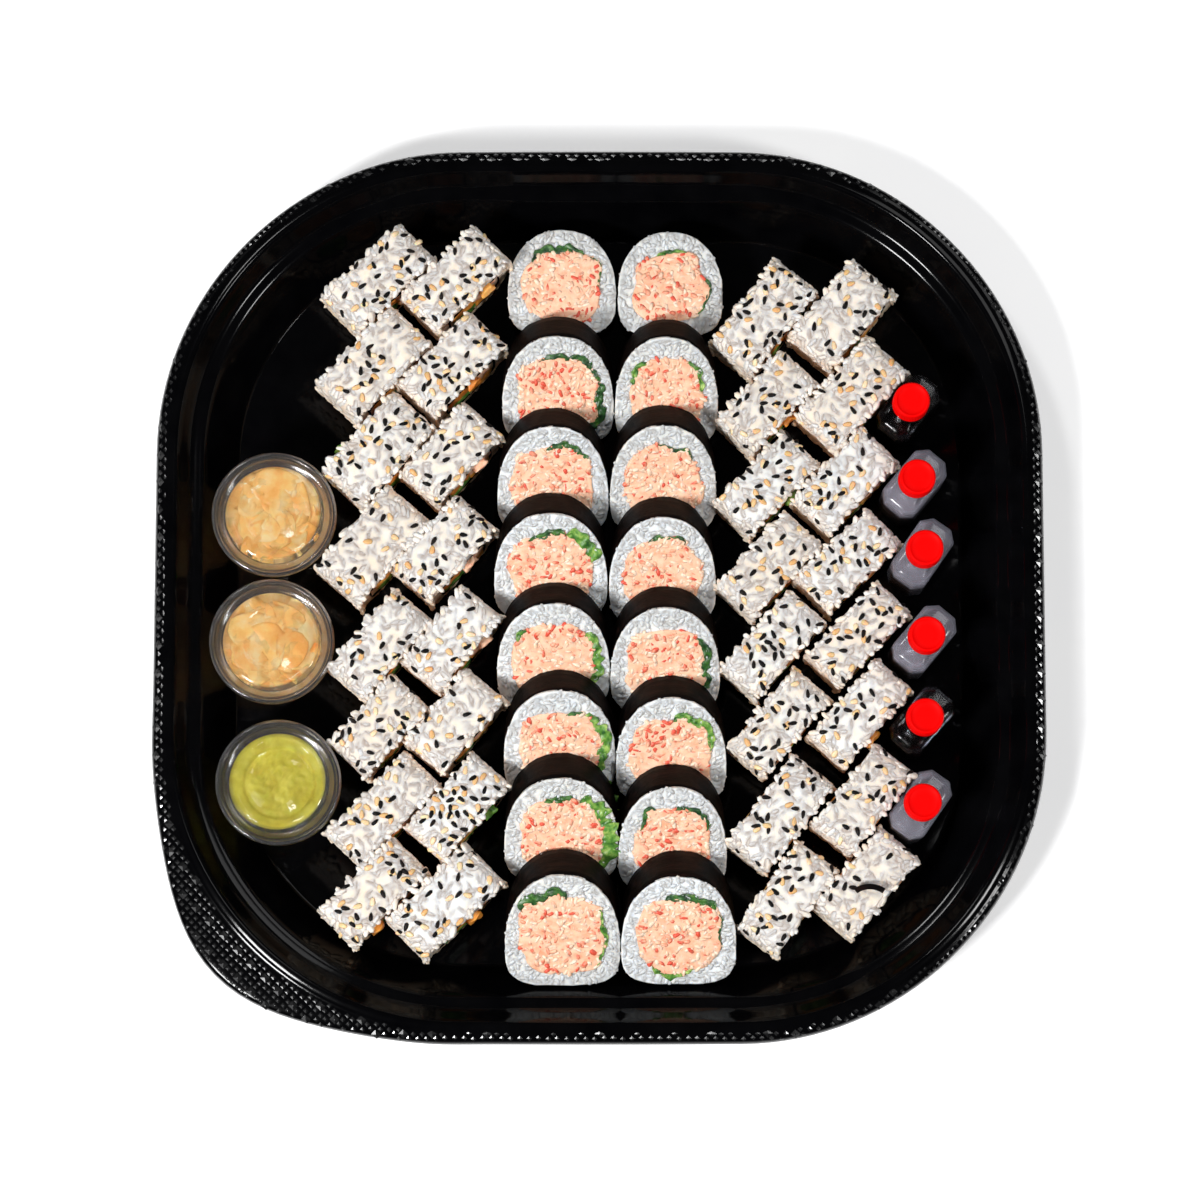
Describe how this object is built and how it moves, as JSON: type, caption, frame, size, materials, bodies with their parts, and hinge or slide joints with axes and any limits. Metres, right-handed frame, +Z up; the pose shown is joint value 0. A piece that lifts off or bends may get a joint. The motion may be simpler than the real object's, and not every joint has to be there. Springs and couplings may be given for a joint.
{
  "type": "takeaway sushi tray",
  "caption": "Black moulded takeaway tray filled with sesame rice rolls and thick seaweed rolls, with lidded sauce pots and small soy sauce bottles.",
  "frame": {"origin": "middle of the tray's underside, on the surface that it stands on", "axes": "+Z up; -Y towards the side that the cut faces of the thick rolls look at; +X towards the soy sauce bottles"},
  "size_m": [0.3572, 0.3614, 0.0462],
  "materials": {
    "tray_plastic": "glossy black moulded sheet, dimpled on the flange",
    "rice": "cooked white rice, moist and slightly translucent",
    "seaweed": "dark dried seaweed with a soft sheen",
    "filling": "creamy shredded salad in peach and salmon red",
    "leaf": "fresh dark green leaf",
    "black_seed": "black sesame seed",
    "tan_seed": "toasted sesame seed",
    "ginger": "wet pickled ginger slices",
    "wasabi": "smooth paste",
    "clear_plastic": "clear thin moulded plastic",
    "red_plastic": "bright red moulded plastic",
    "soy_sauce": "dark sauce"
  },
  "bodies": {
    "root": {"tray": "tray_plastic", "uramaki_a1": "rice", "uramaki_a2": "rice", "uramaki_a3": "rice", "uramaki_a4": "rice", "uramaki_a5": "rice", "uramaki_a6": "rice", "uramaki_a7": "rice", "uramaki_a8": "rice", "uramaki_b1": "rice", "uramaki_b2": "rice", "uramaki_b3": "rice", "uramaki_b4": "rice", "uramaki_b5": "rice", "uramaki_b6": "rice", "uramaki_b7": "rice", "uramaki_b8": "rice", "uramaki_c1": "rice", "uramaki_c2": "rice", "uramaki_c3": "rice", "uramaki_c4": "rice", "uramaki_c5": "rice", "uramaki_c6": "rice", "uramaki_c7": "rice", "uramaki_c8": "rice", "uramaki_d1": "rice", "uramaki_d2": "rice", "uramaki_d3": "rice", "uramaki_d4": "rice", "uramaki_d5": "rice", "uramaki_d6": "rice", "uramaki_d7": "rice", "uramaki_d8": "rice", "futomaki_l1": "seaweed", "futomaki_l2": "seaweed", "futomaki_l3": "seaweed", "futomaki_l4": "seaweed", "futomaki_l5": "seaweed", "futomaki_l6": "seaweed", "futomaki_l7": "seaweed", "futomaki_l8": "seaweed", "futomaki_r1": "seaweed", "futomaki_r2": "seaweed", "futomaki_r3": "seaweed", "futomaki_r4": "seaweed", "futomaki_r5": "seaweed", "futomaki_r6": "seaweed", "futomaki_r7": "seaweed", "futomaki_r8": "seaweed", "ginger_pot_1": "clear_plastic", "ginger_pot_2": "clear_plastic", "wasabi_pot": "clear_plastic", "soy_bottle_1": "clear_plastic", "soy_bottle_2": "clear_plastic", "soy_bottle_3": "clear_plastic", "soy_bottle_4": "clear_plastic", "soy_bottle_5": "clear_plastic", "soy_bottle_6": "clear_plastic", "nori_shred": "seaweed"}
  },
  "joints": []
}
